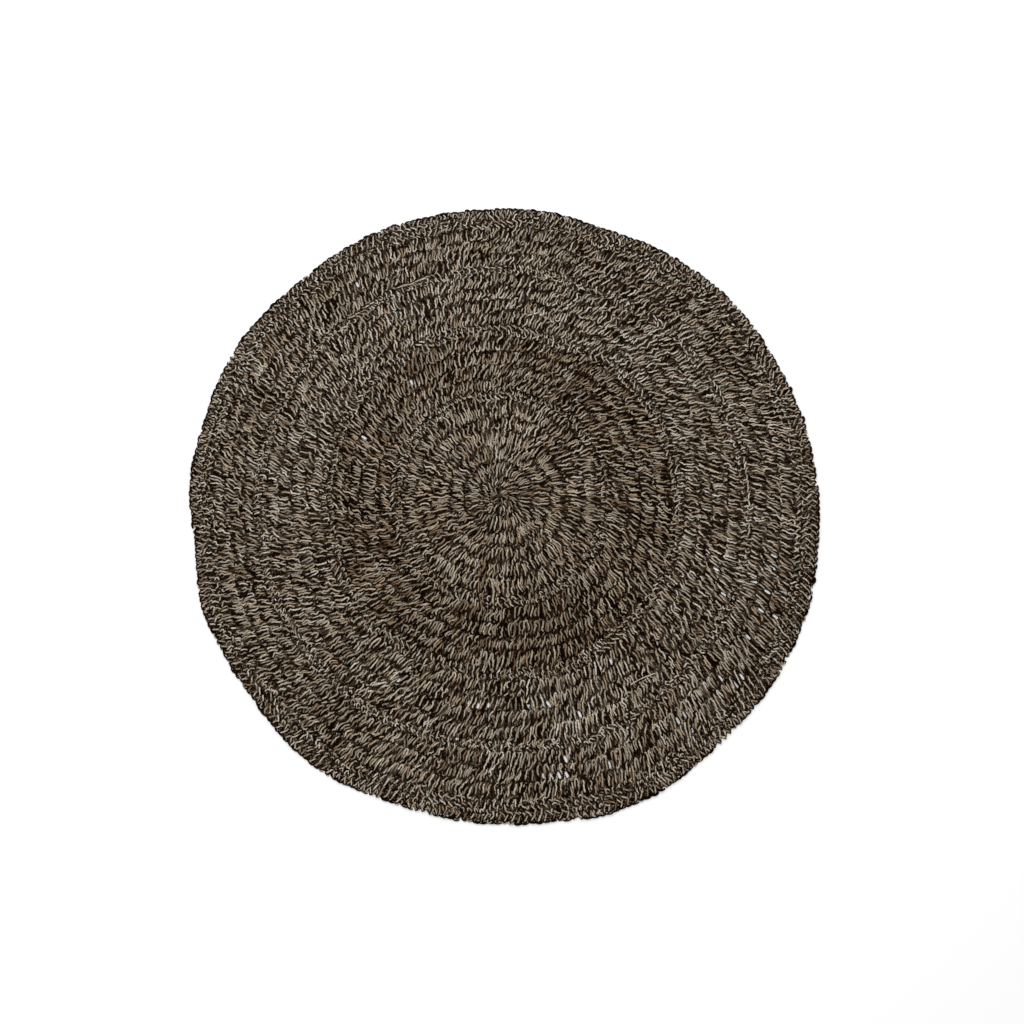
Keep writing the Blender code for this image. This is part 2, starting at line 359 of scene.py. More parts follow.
FORMS = (
    # Tall post: a double bend that runs on into the next round
    YarnForm(Worked.TALL, Run.POST, PAIR, 3.0, 12, 1.5, 0.44, (
        (0.42, -0.22, 4.8), (0.34, -0.06, 8.6), (0.10, 0.02, 9.4), (0.0, 0.20, 9.2),
        (0.04, 0.46, 8.4), (-0.02, 0.72, 8.6), (-0.10, 0.94, 9.2), (-0.38, 1.04, 8.8),
        (-0.48, 1.20, 5.0),
    )),
    # An arch at the foot with one short leg
    YarnForm(Worked.TALL, Run.POST, PAIR, 2.0, 13, 1.6, 0.42, (
        (0.62, 0.42, 4.6), (0.60, 0.14, 8.2), (0.40, -0.03, 9.2), (0.12, 0.00, 9.4),
        (0.0, 0.22, 8.8), (0.05, 0.50, 8.2), (-0.06, 0.78, 8.8), (-0.28, 0.98, 9.0),
        (-0.40, 1.14, 5.0),
    )),
    # A wavy post
    YarnForm(Worked.TALL, Run.POST, PAIR, 2.0, 11, 1.3, 0.46, (
        (0.14, -0.20, 4.8), (0.04, 0.00, 9.2), (-0.06, 0.22, 9.2), (0.06, 0.46, 8.4),
        (-0.04, 0.70, 8.6), (0.04, 0.90, 9.2), (-0.14, 1.06, 8.6), (-0.20, 1.22, 5.0),
    )),
    # A post with a step half way
    YarnForm(Worked.TALL, Run.POST, PAIR, 1.5, 12, 1.6, 0.42, (
        (0.34, -0.16, 4.8), (0.26, 0.04, 9.0), (0.20, 0.26, 8.8), (-0.04, 0.42, 9.4),
        (-0.10, 0.66, 8.6), (-0.12, 0.86, 8.8), (-0.40, 0.98, 9.2), (-0.50, 1.16, 5.0),
    )),
    # A narrow arch
    YarnForm(Worked.TALL, Run.POST, PAIR, 1.5, 13, 1.2, 0.38, (
        (0.40, 0.76, 4.4), (0.36, 0.48, 7.8), (0.40, 0.20, 8.4), (0.24, -0.02, 9.2),
        (0.02, 0.04, 9.0), (-0.06, 0.30, 8.4), (-0.12, 0.58, 8.0), (-0.02, 0.86, 8.6),
        (-0.14, 1.06, 7.0), (-0.16, 1.20, 4.4),
    )),
    # Between two tall posts: its inner half, its outer half, a black strand, a knot
    YarnForm(Worked.TALL, Run.WRAP, PAIR, 2.5, 7, 0.9, 0.45, (
        (0.60, -0.06, 4.4), (0.56, 0.12, 7.6), (0.48, 0.36, 7.8), (0.54, 0.62, 7.4),
        (0.46, 0.84, 4.4),
    )),
    YarnForm(Worked.TALL, Run.WRAP, PAIR, 2.0, 7, 0.9, 0.40, (
        (0.62, 0.30, 4.2), (0.52, 0.50, 7.6), (0.46, 0.74, 8.0), (0.54, 0.96, 8.0),
        (0.40, 1.16, 4.6),
    )),
    YarnForm(Worked.TALL, Run.WRAP, ONLY_BLACK, 1.3, 8, 0.3, 0.00, (
        (0.56, -0.10, 4.6), (0.52, 0.14, 8.4), (0.46, 0.42, 8.4), (0.52, 0.72, 8.2),
        (0.40, 1.04, 4.6),
    )),
    YarnForm(Worked.TALL, Run.WRAP, PAIR, 1.0, 7, 0.6, 0.50, (
        (0.14, 0.84, 4.4), (0.28, 0.98, 8.4), (0.46, 1.02, 9.8), (0.62, 0.94, 8.2),
        (0.70, 0.78, 4.4),
    )),
    # Short post: an arch, an arch that runs on, two slants
    YarnForm(Worked.SHORT, Run.POST, PAIR, 1.5, 8, -1.4, 0.60, (
        (0.44, 1.20, 4.6), (0.46, 0.76, 7.8), (0.36, 0.20, 8.8), (0.12, 0.02, 9.4),
        (-0.08, 0.24, 9.0), (-0.06, 0.72, 8.4), (-0.14, 1.24, 4.8),
    )),
    YarnForm(Worked.SHORT, Run.POST, PAIR, 1.5, 8, -1.4, 0.40, (
        (0.50, 0.60, 4.6), (0.40, 0.12, 8.2), (0.16, 0.00, 9.2), (-0.06, 0.34, 9.0),
        (0.02, 0.80, 8.6), (-0.20, 1.16, 7.8), (-0.34, 1.40, 4.6),
    )),
    YarnForm(Worked.SHORT, Run.POST, PAIR, 2.5, 8, -1.0, 0.50, (
        (0.46, -0.36, 4.5), (0.28, 0.00, 8.4), (0.0, 0.46, 9.0), (-0.26, 0.94, 8.4),
        (-0.40, 1.28, 4.8),
    )),
    YarnForm(Worked.SHORT, Run.POST, PAIR, 1.0, 8, -1.0, 0.50, (
        (-0.40, -0.34, 4.5), (-0.22, 0.02, 8.4), (0.04, 0.46, 9.0), (0.26, 0.94, 8.4),
        (0.40, 1.30, 4.8),
    )),
    # Over a short post: a black strand along the round, another across it
    YarnForm(Worked.SHORT, Run.WRAP, ONLY_BLACK, 1.5, 5, 0.3, 0.00, (
        (-0.44, 0.16, 4.6), (-0.20, 0.00, 9.6), (0.10, 0.04, 10.2), (0.36, -0.04, 9.4),
        (0.56, 0.10, 4.6),
    )),
    YarnForm(Worked.SHORT, Run.WRAP, ONLY_BLACK, 1.0, 5, 0.3, 0.00, (
        (0.34, -0.24, 5.0), (0.14, 0.18, 9.8), (-0.06, 0.66, 10.0), (-0.22, 1.08, 5.0),
    )),
    # Edge: a loop that wraps over the rim, an arch inside it, two black strands along the rim
    YarnForm(Worked.EDGE, Run.POST, PAIR, 2.0, 9, -1.3, 0.30, (
        (0.46, -0.40, 4.5), (0.26, -0.02, 8.2), (0.0, 0.54, 8.6), (-0.22, 1.00, 6.8),
        (-0.12, 1.18, 5.2), (0.12, 1.20, 4.2), (0.36, 0.96, 3.8),
    )),
    YarnForm(Worked.EDGE, Run.POST, PAIR, 1.5, 9, -1.4, 0.24, (
        (-0.46, -0.06, 4.8), (-0.32, 0.40, 8.2), (-0.12, 1.04, 7.8), (0.10, 1.14, 7.4),
        (0.28, 0.50, 8.0), (0.44, -0.06, 4.8),
    )),
    YarnForm(Worked.EDGE, Run.WRAP, ONLY_BLACK, 1.0, 6, 0.3, 0.00, (
        (-0.66, 1.02, 4.4), (-0.34, 1.26, 7.6), (0.0, 1.34, 8.2), (0.34, 1.30, 7.6),
        (0.66, 1.08, 4.4),
    )),
    YarnForm(Worked.EDGE, Run.WRAP, ONLY_BLACK, 0.8, 6, 0.3, 0.00, (
        (-0.50, 0.62, 4.6), (-0.24, 0.80, 7.0), (0.04, 0.94, 7.4), (0.30, 0.84, 7.0),
        (0.54, 0.64, 4.6),
    )),
    # Start: low black spokes that meet in the middle, short natural lengths between them
    YarnForm(Worked.START, Run.POST, ONLY_BLACK, 1.0, 10, 0.3, 0.00, (
        (0.0, 0.02, 6.6), (0.06, 0.50, 7.2), (0.0, 1.00, 7.6), (-0.10, 1.60, 7.6),
        (-0.16, 2.10, 7.2), (-0.20, 2.50, 5.0),
    )),
    YarnForm(Worked.START, Run.WRAP, ONLY_NATURAL, 1.0, 7, 0.4, 0.50, (
        (0.54, 0.50, 5.4), (0.48, 0.80, 8.0), (0.54, 1.10, 8.8), (0.48, 1.45, 8.2),
        (0.52, 1.80, 5.0),
    )),
    # A loose straw, from end to end
    YarnForm(Worked.TALL, Run.LOOSE, ONLY_NATURAL, 1.0, 8, 0.0, 0.50, (
        (0.0, 0.0, 12.0), (0.10, 0.3, 13.4), (0.06, 0.7, 13.4), (-0.10, 1.0, 12.2),
    )),
)


def smooth_route(route: list[Vector], steps: int) -> list[Vector]:
    """Reads points off a smooth curve through the points of a route.

    Args:
        route: The points that the curve passes through.
        steps: How many straight steps the result has.

    Returns:
        The points, one more than the steps.
    """
    ends = [2.0 * route[0] - route[1], *route, 2.0 * route[-1] - route[-2]]
    made = []
    for i in range(steps + 1):
        along = (len(route) - 1) * i / steps
        k = min(int(along), len(route) - 2)
        t = along - k
        a, b, c, d = ends[k : k + 4]
        made.append(
            0.5 * (2.0 * b + t * (c - a) + t * t * (2.0 * a - 5.0 * b + 4.0 * c - d)
                   + t * t * t * (3.0 * b - a - 3.0 * c + d))
        )
    return made


class Field:
    """What a node gives, to reckon with: + - * and / each add a Math node."""

    def __init__(self, nodes: "NodeBuilder", socket: bpy.types.NodeSocket) -> None:
        """Takes the builder of the tree and the node's output."""
        self.nodes = nodes
        self.socket = socket

    def __add__(self, other: object) -> "Field":
        """Adds a field or number to it."""
        return self.nodes.math("ADD", self, other)

    def __sub__(self, other: object) -> "Field":
        """Takes a field or number away from it."""
        return self.nodes.math("SUBTRACT", self, other)

    def __rsub__(self, other: object) -> "Field":
        """Takes it away from a number."""
        return self.nodes.math("SUBTRACT", other, self)

    def __mul__(self, other: object) -> "Field":
        """Multiplies it by a field or number."""
        return self.nodes.math("MULTIPLY", self, other)

    def __truediv__(self, other: object) -> "Field":
        """Divides it by a field or number."""
        return self.nodes.math("DIVIDE", self, other)


class NodeBuilder:
    """Adds nodes to a tree and wires them, with one short call for each."""

    def __init__(self, tree: bpy.types.NodeTree) -> None:
        """Takes the tree that the nodes go in."""
        self.tree = tree

    def feed(self, node: bpy.types.Node, inputs: dict[int | str, object]) -> None:
        """Fills the inputs of a node.

        Args:
            node: The node.
            inputs: What each input gets, a field to link or a value, by name or number.
        """
        for key, value in inputs.items():
            if isinstance(value, Field):
                self.tree.links.new(value.socket, node.inputs[key])
            else:
                node.inputs[key].default_value = value

    def node(self, kind: str, inputs: dict | None = None, **settings: object) -> bpy.types.Node:
        """Adds a node.

        Args:
            kind: The node's type name.
            inputs: What each input gets, a field to link or a value, by name or number.
            settings: The node's own properties.

        Returns:
            The node.
        """
        node = self.tree.nodes.new(kind)
        for name, value in settings.items():
            setattr(node, name, value)
        self.feed(node, inputs or {})
        return node

    def add(
        self, kind: str, inputs: dict | None = None, output: int | str = 0, **settings: object
    ) -> Field:
        """Adds a node and gives one of its outputs."""
        return Field(self, self.node(kind, inputs, **settings).outputs[output])

    def math(self, operation: str, *values: object) -> Field:
        """Adds a Math node, with fields or numbers for its inputs."""
        return self.add("ShaderNodeMath", dict(enumerate(values)), operation=operation)

    def vector_math(self, operation: str, *values: object, output: int = 0) -> Field:
        """Adds a Vector Math node, with fields or triples for its inputs."""
        return self.add("ShaderNodeVectorMath", dict(enumerate(values)), output, operation=operation)

    def scaled(self, vector: Field, factor: Field) -> Field:
        """Scales a vector."""
        return self.add("ShaderNodeVectorMath", {0: vector, "Scale": factor}, operation="SCALE")

    def xyz(self, x: object = 0.0, y: object = 0.0, z: object = 0.0) -> Field:
        """Joins three fields or numbers to a vector."""
        return self.add("ShaderNodeCombineXYZ", {0: x, 1: y, 2: z})

    def split(self, vector: Field) -> list[Field]:
        """Takes a vector apart into three fields."""
        parts = self.node("ShaderNodeSeparateXYZ", {0: vector}).outputs
        return [Field(self, part) for part in parts]

    def noise(self, place: Field, scale: float, detail: float, roughness: float = 0.5) -> Field:
        """Adds a Noise Texture and gives its value."""
        inputs = {"Vector": place, "Scale": scale, "Detail": detail, "Roughness": roughness}
        return self.add("ShaderNodeTexNoise", inputs)

    def ridges(self, turns: Field) -> Field:
        """Makes a ridge of each turn, from 0 at its ends to 1 half way."""
        return self.math("ABSOLUTE", self.math("SINE", turns * math.pi))

    def bump(self, height: Field, strength: float, distance: float) -> Field:
        """Adds a Bump node."""
        return self.add("ShaderNodeBump", {"Height": height, "Strength": strength, "Distance": distance})

    def mix(self, share: Field, low: object, high: object) -> Field:
        """Mixes two colours, the node's inputs 6 and 7, with so large a share of the second."""
        inputs = {0: share, 6: low, 7: high}
        return self.add("ShaderNodeMix", inputs, 2, data_type="RGBA", clamp_factor=True)

    def ramp(self, value: Field, stops: Shades) -> Field:
        """Adds a Color Ramp.

        Args:
            value: What it reads.
            stops: Each stop's place and colour.

        Returns:
            Its colour.
        """
        ramp = self.node("ShaderNodeValToRGB", {"Fac": value})
        elements = ramp.color_ramp.elements
        while len(elements) < len(stops):
            elements.new(0.5)
        for element, (place, colour) in zip(elements, stops):
            element.position = place
            element.color = (*colour, 1.0)
        return Field(self, ramp.outputs["Color"])


@dataclass(frozen=True)
class StrandRows:
    """How the strands' UV map is shared out: one row for each tone, and the strand's way along u."""

    natural: float = 24.0
    black: float = 8.0
    margin: float = 0.06
    unit: float = 0.25

    @property
    def count(self) -> float:
        """Gives the number of rows."""
        return self.natural + self.black

    @property
    def inside(self) -> float:
        """Gives the share of a row's height between its margins."""
        return 1.0 - 2.0 * self.margin


@dataclass(frozen=True)
class Finish:
    """A matte finish, whose pattern is left to each kind of finish."""

    name: str
    roughness: float
    specular: float

    def material(self) -> bpy.types.Material:
        """Makes the material.

        Returns:
            The material.
        """
        material = bpy.data.materials.new(self.name)
        material.use_nodes = True
        nodes = NodeBuilder(material.node_tree)
        inputs = {"Roughness": self.roughness, "Specular IOR Level": self.specular}
        inputs.update(self.pattern(nodes))
        nodes.feed(material.node_tree.nodes["Principled BSDF"], inputs)
        return material

    def pattern(self, nodes: NodeBuilder) -> dict[str, object]:
        """Gives the shader's colour, and its normal where it has relief."""
        raise NotImplementedError


@dataclass(frozen=True)
class SeagrassFinish(Finish):
    """Twisted seagrass, two plies in a strand, coloured by the row of the strands' UV map.

    Fibres and clouds are light and dark streaks along the strand, so many to a metre or a turn.
    """

    shades: Shades
    # The colour painted into the grooves between the plies: painted shade.
    groove: Colour
    streak: float = 1.5
    rows: StrandRows = StrandRows()
    ply_length: float = 0.009
    # Painted shade: a strand is painted darker on its flanks than on its top core.
    core: float = 0.10
    flank: float = 0.19
    flank_light: float = 0.6
    fibres_along: float = 90.0
    fibres_round: float = 9.0
    fibre_detail: float = 3.0
    fibre_least: float = 0.6
    fibre_light: float = 0.8
    clouds_along: float = 40.0
    cloud_detail: float = 1.0
    groove_steepness: float = 2.2
    groove_softness: float = 0.1
    groove_depth: float = 0.75
    fibre_relief: float = 0.5
    bump: float = 0.5
    relief: float = 0.0006

    def pattern(self, nodes: NodeBuilder) -> dict[str, object]:
        """Twists the plies and streaks them with fibres.

        Args:
            nodes: The builder of the material's nodes.

        Returns:
            The shader's colour and normal.
        """
        rows = self.rows
        place = nodes.split(nodes.add("ShaderNodeUVMap", uv_map=UV_NAME))
        along = place[0] * rows.unit
        level = place[1] * rows.count
        row = nodes.math("FLOOR", level)
        around = (level - row - rows.margin) / rows.inside
        turns = along / self.ply_length + around
        twist = nodes.ridges(turns)
        fibre_place = nodes.xyz(along * self.fibres_along, turns * self.fibres_round, row)
        fibres = nodes.noise(fibre_place, 1.0, self.fibre_detail)
        clouds = nodes.noise(nodes.xyz(along * self.clouds_along, row), 1.0, self.cloud_detail)
        light = clouds * self.streak + (1.0 - 0.5 * self.streak)
        light = light * (fibres * self.fibre_light + self.fibre_least)
        # Painted shade: the flanks of the strand are painted darker than its top.
        edge = nodes.add("ShaderNodeMapRange", {
            "Value": nodes.math("ABSOLUTE", around - 0.5),
            "From Min": self.core, "From Max": self.flank, "To Min": 1.0, "To Max": self.flank_light,
        })
        lit = nodes.scaled(nodes.ramp(row / rows.count, self.shades), light * edge)
        # Painted shade: the grooves between the plies are mixed towards a dark colour.
        full = nodes.math("SMOOTH_MIN", twist * self.groove_steepness, 1.0, self.groove_softness)
        return {
            "Base Color": nodes.mix((1.0 - full) * self.groove_depth, lit, (*self.groove, 1.0)),
            "Normal": nodes.bump(twist + fibres * self.fibre_relief, self.bump, self.relief),
        }


NATURAL_FINISH = SeagrassFinish("seagrass_natural", roughness=0.8, specular=0.12, shades=(
    (0.00, (0.145, 0.095, 0.058)),
    (0.10, (0.235, 0.162, 0.100)),
    (0.20, (0.250, 0.220, 0.166)),
    (0.32, (0.350, 0.264, 0.186)),
    (0.44, (0.340, 0.306, 0.238)),
    (0.54, (0.440, 0.352, 0.262)),
    (0.64, (0.457, 0.414, 0.340)),
    (0.74, (0.560, 0.510, 0.430)),
), groove=(0.07, 0.048, 0.030))
BLACK_FINISH = SeagrassFinish("seagrass_black", roughness=0.6, specular=0.02, shades=(
    (0.76, (0.0040, 0.0011, 0.0002)),
    (0.85, (0.0120, 0.0052, 0.0016)),
    (0.91, (0.0290, 0.0155, 0.0066)),
    (0.98, (0.0600, 0.0430, 0.0300)),
), groove=(0.0016, 0.0008, 0.0003))


@dataclass(frozen=True)
class GroundFinish(Finish):
    """The strands deep in the work, seen between the stitches and on the underside."""

    name: str = "seagrass_ground"
    roughness: float = 0.95
    specular: float = 0.05
    # The darkest shade, between the ground's strands, is partly the black strands and partly painted
    # shade deep in the work.
    shades: Shades = (
        (0.12, (0.0020, 0.0010, 0.0004)),
        (0.34, (0.024, 0.0150, 0.0085)),
        (0.66, (0.230, 0.178, 0.128)),
    )
    strands_per_stitch: float = 2.0
    lean: float = -0.6
    wander_scale: float = 75.0
    wander: float = 2.2
    fibre_scale: float = 260.0
    fibre_light: float = 0.9
    strand_light: float = 0.25
    strand_step: float = 0.618
    fibre_relief: float = 0.4
    bump: float = 0.8
    relief: float = 0.0015

    def pattern(self, nodes: NodeBuilder) -> dict[str, object]:
        """Lays strands side by side on the ground sheet's UV map.

        Args:
            nodes: The builder of the material's nodes.

        Returns:
            The shader's colour and normal.
        """
        place = nodes.add("ShaderNodeTexCoord", output="Object")
        drift = nodes.noise(place, self.wander_scale, 1.0) * self.wander
        fibres = nodes.noise(place, self.fibre_scale, 2.0)
        stitch = nodes.split(nodes.add("ShaderNodeUVMap", uv_map=GROUND_UV_NAME))
        turns = nodes.math("MULTIPLY_ADD", stitch[1], self.lean, drift)
        turns = nodes.math("MULTIPLY_ADD", stitch[0], self.strands_per_stitch, turns)
        # Near-black between the ridges is partly black strands and partly painted shade; the ridges are
        # natural strands.
        ridge = nodes.ridges(turns)
        strand = nodes.math("SINE", nodes.math("FLOOR", turns) * (math.pi * self.strand_step))
        light = nodes.math("MULTIPLY_ADD", fibres, self.fibre_light, strand * self.strand_light)
        height = nodes.math("MULTIPLY_ADD", fibres, self.fibre_relief, ridge)
        return {
            "Base Color": nodes.ramp(ridge * light, self.shades),
            "Normal": nodes.bump(height, self.bump, self.relief),
        }


@dataclass(frozen=True)
class FloorFinish(Finish):
    """A pale plain floor."""

    name: str = "pale_floor"
    roughness: float = 0.9
    specular: float = 0.1
    colour: Colour = (0.86, 0.86, 0.86)

    def pattern(self, nodes: NodeBuilder) -> dict[str, object]:
        """Gives the floor's one colour."""
        return {"Base Color": (*self.colour, 1.0)}


def mesh_from(made: bmesh.types.BMesh, name: str) -> bpy.types.Mesh:
    """Turns a bmesh into a smooth-shaded mesh and frees it.

    Args:
        made: The bmesh.
        name: The mesh's name.

    Returns:
        The mesh.
    """
    data = bpy.data.meshes.new(name)
    made.to_mesh(data)
    made.free()
    data.shade_smooth()
    return data


def add_object(name: str, data: bpy.types.ID) -> bpy.types.Object:
    """Puts a mesh, light or camera in the scene, at the origin.

    Args:
        name: The object's name.
        data: What it shows.

    Returns:
        The object.
    """
    made = bpy.data.objects.new(name, data)
    bpy.context.scene.collection.objects.link(made)
    return made


def bake_modifiers(made: bpy.types.Object) -> None:
    """Replaces an object's mesh by the plain mesh that its modifiers make of it.

    Args:
        made: The object.
    """
    depsgraph = bpy.context.evaluated_depsgraph_get()
    result = bpy.data.meshes.new_from_object(
        made.evaluated_get(depsgraph), preserve_all_data_layers=True, depsgraph=depsgraph
    )
    made.modifiers.clear()
    made.data = result
    result.name = made.name


@dataclass
class GroundSheet:
    """The thin ribbed sheet that holds the stitches, with the see-through gaps cut in it."""

    plan: RugPlan
    inset: float = 0.0012
    segments: int = 144
    underside: float = 0.0004
    crest: float = 0.0056
    valley: float = 0.0042
    crest_share: float = 0.45
    stitch_pitch: float = 0.0135
    cut_from: float = -0.005
    cut_to: float = 0.020
    flat: tuple[float, float] = (1.50, 1.50)
    flat_area: float = 1.77

    def rings(self) -> list[tuple[float, float]]:
        """Lists the rings of the ribs, from the middle outwards.

        Returns:
            Each ring's share of the rim's radius and its height on top.
        """
        made = []
        for work in self.plan.rounds()[1:]:
            made.append((work.inner + self.crest_share * (work.outer - work.inner), self.crest))
            made.append((work.outer, self.valley))
        last = 1.0 - self.inset / self.plan.mean_radius
        return [ring for ring in made[:-1] if ring[0] < last] + [(last, self.valley)]

    def build(self) -> bpy.types.Object:
        """Makes the sheet.

        Returns:
            The sheet's object.
        """
        mesh = bmesh.new()
        place = self.plan.place
        bearings = bearings_round(self.segments)
        top, low = [], []
        for share, height in self.rings():
            top.append([mesh.verts.new(place(share, b, height)) for b in bearings])
            low.append([mesh.verts.new(place(share, b, self.underside)) for b in bearings])
        for rings, hub_height, way in ((top, self.valley, 1), (low, self.underside, -1)):
            for k, (inner, outer) in enumerate(zip(rings, rings[1:])):
                for i in range(self.segments):
                    j = (i + 1) % self.segments
                    corners = (inner[i], outer[i], outer[j], inner[j])
                    self.map_face(mesh, mesh.faces.new(corners[::way]), corners, i, k)
            hub = mesh.verts.new(place(0.0, 0.0, hub_height))
            for i in range(self.segments):
                mesh.faces.new((hub, rings[0][i], rings[0][(i + 1) % self.segments])[::way])
        for i in range(self.segments):
            j = (i + 1) % self.segments
            mesh.faces.new((top[-1][i], low[-1][i], low[-1][j], top[-1][j]))
        bmesh.ops.recalc_face_normals(mesh, faces=mesh.faces[:])
        sheet = add_object("ground_sheet", mesh_from(mesh, "ground_sheet"))
        sheet.data.materials.append(GroundFinish().material())
        self.cut(sheet)
        return sheet

    def map_face(
        self, mesh: bmesh.types.BMesh, face: bmesh.types.BMFace, corners: tuple, column: int, ring: int
    ) -> None:
        """Gives a face its place on the UV map: stitches round, and half rounds out.

        Args:
            mesh: The mesh.
            face: The face.
            corners: Its corners, inner and outer at its start, then outer and inner at its end.
            column: The number of its segment.
            ring: The number of its inner ring.
        """
        layer = mesh.loops.layers.uv.get(GROUND_UV_NAME) or mesh.loops.layers.uv.new(GROUND_UV_NAME)
        around = math.tau * corners[0].co.xy.length / self.stitch_pitch
        width = round(around) / self.segments
        begin, end = column * width, (column + 1) * width
        places = ((begin, ring), (begin, ring + 1), (end, ring + 1), (end, ring))
        for loop in face.loops:
            loop[layer].uv = places[corners.index(loop.vert)]

    def cut(self, sheet: bpy.types.Object) -> None:
        """Cuts the see-through gaps.

        Args:
            sheet: The whole sheet.
        """
        mesh = bmesh.new()
        for work in self.plan.rounds():
            for gap in self.plan.gaps_in(work):
                self.add_post(mesh, gap)
        cutters = add_object("gap_cutters", mesh_from(mesh, "gap_cutters"))
        cut = sheet.modifiers.new("cut_gaps", "BOOLEAN")
        cut.operation = "DIFFERENCE"
        cut.object = cutters
        bake_modifiers(sheet)
        bpy.data.objects.remove(cutters)

    def add_post(self, mesh: bmesh.types.BMesh, gap: Gap) -> None:
        """Adds the slim post that cuts one gap.

        Args:
            mesh: The mesh of all the posts.
            gap: The gap.
        """
        centre = self.plan.place(gap.share, gap.bearing)
        along = pointing(gap.bearing + gap.lean)
        across = Vector((-along.y, along.x, 0.0)) * 0.5 * self.plan.gap_width
        shoulder = self.plan.gap_shoulder_share * gap.half_length
        outline = (
            centre + gap.half_length * along,
            centre + shoulder * along + across,
            centre - shoulder * along + across,
            centre - gap.half_length * along,
            centre - shoulder * along - across,
            centre + shoulder * along - across,
        )
        low = [mesh.verts.new((p.x, p.y, self.cut_from)) for p in outline]
        high = [mesh.verts.new((p.x, p.y, self.cut_to)) for p in outline]
        mesh.faces.new(reversed(low))
        mesh.faces.new(high)
        for i in range(len(low)):
            j = (i + 1) % len(low)
            mesh.faces.new((low[i], low[j], high[j], high[i]))


@dataclass
class StitchForms:
    """The forms of the yarn as curves, in the order of their numbers."""

    forms: tuple[YarnForm, ...] = FORMS
    black_detail: float = 0.65
    collection: bpy.types.Collection | None = None

    @staticmethod
    def curve_of(number: int, strand: Strand) -> int:
        """Gives the number of the curve that a strand takes in a form."""
        return 2 * number + (strand is Strand.BLACK)

    def build(self) -> None:
        """Makes each form a curve for each strand, with widths and heights of 1 and real heights."""
        self.collection = bpy.data.collections.new("yarn_forms")
        bpy.context.scene.collection.children.link(self.collection)
        for number, form in enumerate(self.forms):
            route = [Vector((-x, y, z * MM)) for x, y, z in form.route]
            for strand in Strand:
                detail = self.black_detail if strand is Strand.BLACK else 1.0
                points = smooth_route(route, round(form.steps * detail))
                curve = bpy.data.curves.new(f"form_{self.curve_of(number, strand):03d}", "CURVE")
                curve.dimensions = "3D"
                spline = curve.splines.new("POLY")
                spline.points.add(len(points) - 1)
                for point, place in zip(spline.points, points):
                    point.co = (*place, 1.0)
                self.collection.objects.link(bpy.data.objects.new(curve.name, curve))

    def numbers(self, worked: Worked, run: Run) -> tuple[list[int], list[float]]:
        """Lists the numbers and the weights of the forms that suit a round and a run."""
        fit = [i for i, f in enumerate(self.forms) if f.worked is worked and f.run is run]
        return fit, [self.forms[i].weight for i in fit]

    def remove(self) -> None:
        """Takes the forms out of the scene."""
        for made in list(self.collection.objects):
            bpy.data.objects.remove(made)
        bpy.data.collections.remove(self.collection)


class Wander(NamedTuple):
    """A drift of the strands out of their ideal places, of so much reach over so much spacing.

    It changes faster outwards than round the rug, by as many times as outward says, so that
    strands side by side bend alike.
    """

    name: str
    spacing: float
    reach: float
    outward: float


